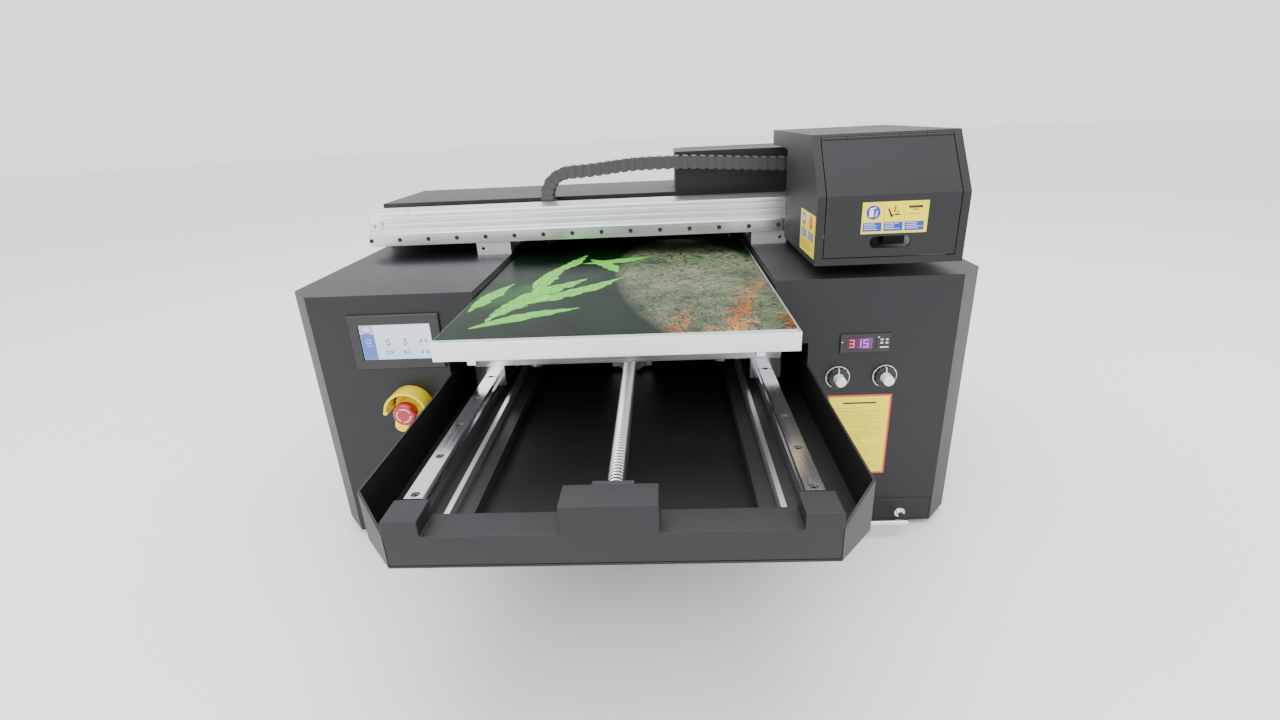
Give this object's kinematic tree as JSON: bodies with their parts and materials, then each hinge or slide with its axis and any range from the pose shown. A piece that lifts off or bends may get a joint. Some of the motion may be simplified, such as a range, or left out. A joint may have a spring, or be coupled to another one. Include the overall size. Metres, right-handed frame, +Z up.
{
  "type": "flatbed uv printer",
  "caption": "Bench-top flatbed UV printer with a sliding, lifting bed on linear rails, a gantry beam with a hooded print carriage, two cabinets and a front tray.",
  "frame": {"origin": "centre of the bounding box at the surface the feet stand on", "axes": "+X to the operator's right, +Y to the back, +Z up; the tray and bed project towards -Y"},
  "size_m": [0.784, 0.772, 0.4646],
  "materials": {
    "black_powder": "fine-textured black powder coat",
    "dark_steel": "dark painted steel",
    "aluminium": "brushed aluminium",
    "rail_steel": "ground bearing steel",
    "screw_steel": "ground steel screw",
    "black_fastener": "blackened steel",
    "chrome": "polished chrome",
    "black_plastic": "moulded black plastic",
    "grey_plastic": "moulded grey plastic",
    "rubber": "soft rubber",
    "printed_board": "printed board, glossy",
    "screen": "lit touch panel",
    "yellow_plastic": "yellow plastic",
    "red_plastic": "red plastic",
    "white_plastic": "white plastic",
    "ink_bottle": "translucent polyethylene",
    "belt": "toothed rubber belt"
  },
  "bodies": {
    "root": {"base_pan": "dark_steel", "rubber_feet": "rubber", "left_cabinet": "black_powder", "right_cabinet": "black_powder", "bed_frame": "dark_steel", "rear_panel": "black_powder", "rear_cover": "black_powder", "power_inlet": "black_plastic", "power_supply": "aluminium", "tray_pan": "black_powder", "tray_apron": "black_powder", "rail_bases": "aluminium", "y_rails": "rail_steel", "rail_screws": "black_fastener", "screw_supports": "dark_steel", "y_motor": "black_fastener", "x_beam": "aluminium", "beam_fittings": "aluminium", "beam_brackets": "aluminium", "x_rail": "rail_steel", "x_motor": "black_fastener", "x_belt": "belt", "chain_lower": "black_plastic", "ink_box": "black_powder", "ink_bottles": "ink_bottle", "screen_bezel": "black_plastic", "screen_glass": "screen", "estop_guard": "yellow_plastic", "thermostat": "black_plastic", "dial_plates": "black_plastic"},
    "bed_carriage": {"y_carriage_plate": "aluminium", "bearing_blocks": "rail_steel", "ball_nut": "screw_steel", "lift_bushes": "rail_steel", "lift_motor": "black_fastener"},
    "bed_lift": {"bed_plate": "aluminium", "sample_board": "printed_board", "bed_runners": "aluminium", "guide_posts": "rail_steel"},
    "lift_nut": {"lift_nut": "screw_steel"},
    "ball_screw": {"ball_screw": "screw_steel"},
    "print_carriage": {"x_carriage": "aluminium", "x_block": "rail_steel", "print_head": "dark_steel", "uv_lamp": "black_fastener", "hood_shell": "black_powder", "chain_upper": "black_plastic"},
    "hood_door": {"hood_door": "black_powder"},
    "chain_bend": {"chain_bend": "black_plastic"},
    "drive_pulley": {"drive_pulley": "aluminium"},
    "idler_pulley": {"idler_pulley": "aluminium"},
    "estop_stem": {"estop_stem": "grey_plastic"},
    "estop_head": {"estop_head": "red_plastic"},
    "knob_left": {"knob_left": "white_plastic"},
    "knob_right": {"knob_right": "white_plastic"},
    "rocker_switch": {"rocker_switch": "red_plastic"},
    "ink_box_lid": {"ink_box_lid": "black_powder"},
    "waste_drawer": {"waste_drawer": "black_powder", "drawer_handle": "chrome"},
    "cap_station": {"cap_station": "grey_plastic"}
  },
  "joints": [
    {"name": "bed_slide", "type": "slide", "parent": "root", "child": "bed_carriage", "axis": [0, 1, 0], "range_m": [-0.205, 0.165]},
    {"name": "lift_slide", "type": "slide", "parent": "bed_carriage", "child": "bed_lift", "axis": [0, 0, 1], "range_m": [-0.04, 0.008]},
    {"name": "lift_nut_spin", "type": "hinge", "parent": "bed_carriage", "child": "lift_nut", "pos_m": [0.05, 0.009, 0.24], "axis": [0, 0, 1], "range_deg": [-721, 3601]},
    {"name": "screw_spin", "type": "hinge", "parent": "root", "child": "ball_screw", "pos_m": [-0.005, 0.014, 0.2015], "axis": [0, 1, 0], "range_deg": [-11881, 14761]},
    {"name": "carriage_slide", "type": "slide", "parent": "root", "child": "print_carriage", "axis": [-1, 0, 0], "range_m": [0, 0.43], "deforming": ["chain_upper", "chain_lower"]},
    {"name": "chain_roll", "type": "slide", "parent": "root", "child": "chain_bend", "axis": [-1, 0, 0], "range_m": [0, 0.2151]},
    {"name": "drive_pulley_spin", "type": "hinge", "parent": "root", "child": "drive_pulley", "pos_m": [0.364, 0.1083, 0.367], "axis": [0, 0, 1], "range_deg": [-3725, 0]},
    {"name": "idler_pulley_spin", "type": "hinge", "parent": "root", "child": "idler_pulley", "pos_m": [-0.35, 0.1083, 0.367], "axis": [0, 0, 1], "range_deg": [-3725, 0]},
    {"name": "hood_door_hinge", "type": "hinge", "parent": "print_carriage", "child": "hood_door", "pos_m": [0.28275, -0.05519, 0.4594], "axis": [-1, 0, 0], "range_deg": [0, 95]},
    {"name": "ink_lid_hinge", "type": "hinge", "parent": "root", "child": "ink_box_lid", "pos_m": [0.224, 0.3175, 0.4375], "axis": [-1, 0, 0], "range_deg": [0, 100]},
    {"name": "estop_push", "type": "slide", "parent": "root", "child": "estop_stem", "axis": [0, 1, 0], "range_m": [0, 0.005], "stiffness_N_per_m": 400},
    {"name": "estop_twist", "type": "hinge", "parent": "estop_stem", "child": "estop_head", "pos_m": [-0.2625, -0.13, 0.184], "axis": [0, -1, 0], "range_deg": [0, 45], "stiffness_Nm_per_rad": 0.02},
    {"name": "knob_left_turn", "type": "hinge", "parent": "root", "child": "knob_left", "pos_m": [0.236, -0.111, 0.2035], "axis": [0, -1, 0], "range_deg": [-150, 150]},
    {"name": "knob_right_turn", "type": "hinge", "parent": "root", "child": "knob_right", "pos_m": [0.289, -0.111, 0.2035], "axis": [0, -1, 0], "range_deg": [-150, 150]},
    {"name": "rocker_tilt", "type": "hinge", "parent": "root", "child": "rocker_switch", "pos_m": [-0.003, 0.38, 0.075], "axis": [1, 0, 0], "range_deg": [0, 20]},
    {"name": "drawer_slide", "type": "slide", "parent": "root", "child": "waste_drawer", "axis": [0, -1, 0], "range_m": [0, 0.15]},
    {"name": "cap_lift", "type": "slide", "parent": "root", "child": "cap_station", "axis": [0, 0, 1], "range_m": [-0.008, 0]}
  ],
  "couplings": [
    {"joint": "lift_nut_spin", "follows": "lift_slide", "rad_per_m": -1570.8},
    {"joint": "screw_spin", "follows": "bed_slide", "rad_per_m": -1256.6},
    {"joint": "chain_roll", "follows": "carriage_slide", "ratio": 0.5},
    {"joint": "drive_pulley_spin", "follows": "carriage_slide", "rad_per_m": -142.86},
    {"joint": "idler_pulley_spin", "follows": "carriage_slide", "rad_per_m": -142.86}
  ]
}
